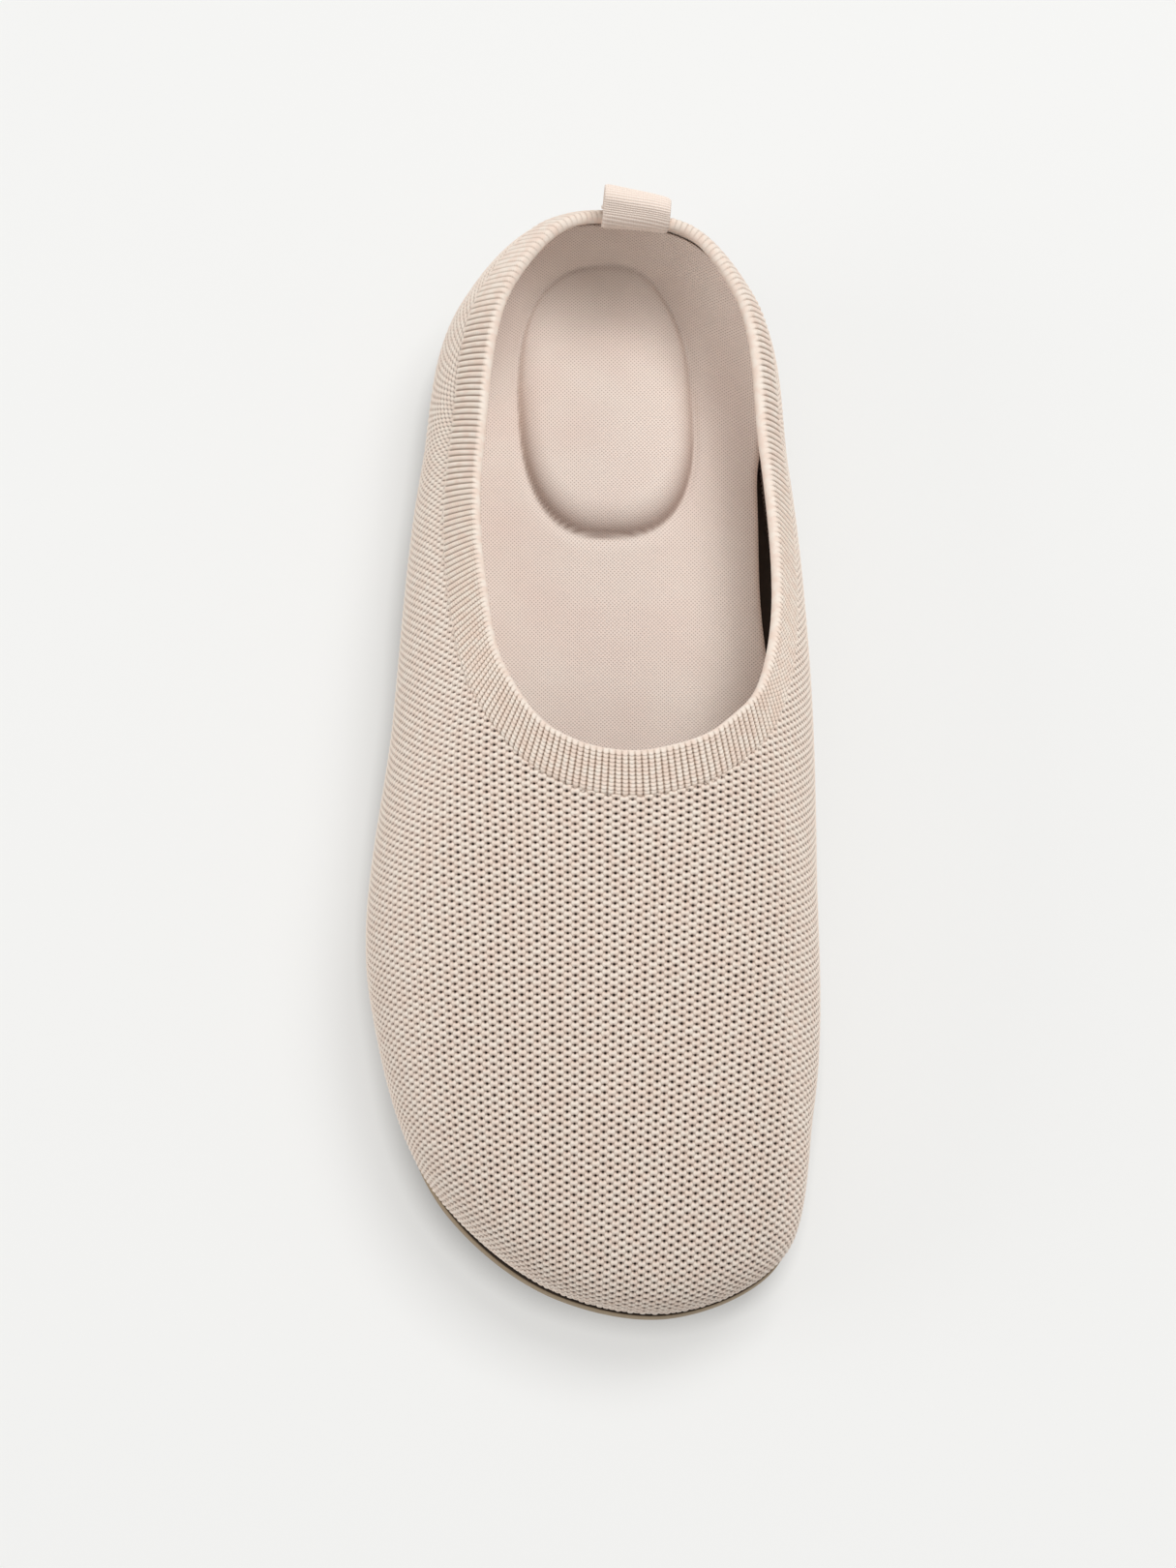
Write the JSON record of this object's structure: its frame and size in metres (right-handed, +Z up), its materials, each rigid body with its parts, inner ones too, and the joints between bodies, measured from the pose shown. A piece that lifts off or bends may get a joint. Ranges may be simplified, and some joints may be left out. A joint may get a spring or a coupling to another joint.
{
  "type": "knitted slipper",
  "caption": "Low closed-toe slip-on slipper for the right foot: knitted upper with a ribbed collar, cupped footbed with a raised heel pad, lugged sole and a heel pull loop.",
  "frame": {"origin": "middle of the slipper's footprint box, on the floor", "axes": "+Z up, toe towards -Y, inner side of the foot towards +X"},
  "size_m": [0.103, 0.2634, 0.0677],
  "materials": {
    "knit": "matt knitted yarn, beige",
    "sole": "matt moulded foam rubber, tan brown",
    "footbed": "matt fine mesh fabric, pinkish beige",
    "tape": "ribbed woven tape, pale peach"
  },
  "bodies": {
    "root": {"sole": "sole", "upper": "knit", "insole": "footbed", "pull_loop": "tape"}
  },
  "joints": []
}
